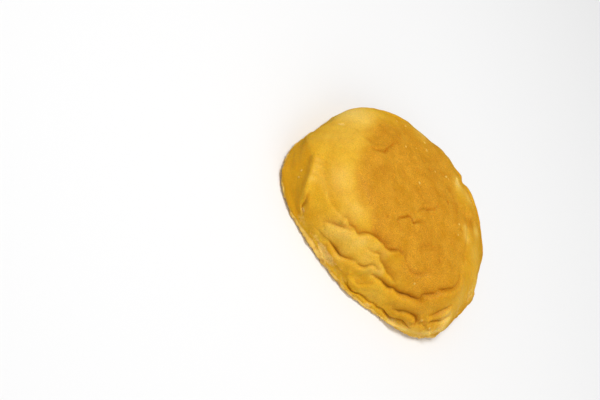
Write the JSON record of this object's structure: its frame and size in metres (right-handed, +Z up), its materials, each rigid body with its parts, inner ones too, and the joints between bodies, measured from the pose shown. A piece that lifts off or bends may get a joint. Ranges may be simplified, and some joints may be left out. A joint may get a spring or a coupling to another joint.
{
  "type": "round rusk",
  "caption": "Round dry rusk with a flat browned top, wrinkled crust folds down one slumped side and a torn flat foot, a crisp biscuit to eat or dip.",
  "frame": {"origin": "on the table plane, under the middle of the rusk's box", "axes": "+Z up out of the browned top, which is square to the flat foot; -Y towards the slumped, wrinkled side; +X to the right when looking along +Y"},
  "size_m": [0.0906, 0.087, 0.0228],
  "materials": {
    "baked_crust": "dry satin baked crust, golden yellow on the shoulder and browned on the flat top",
    "pale_crumb": "dry matte porous crumb at the torn side and foot, cream to tan"
  },
  "bodies": {
    "root": {"rusk": "baked_crust"}
  },
  "joints": []
}
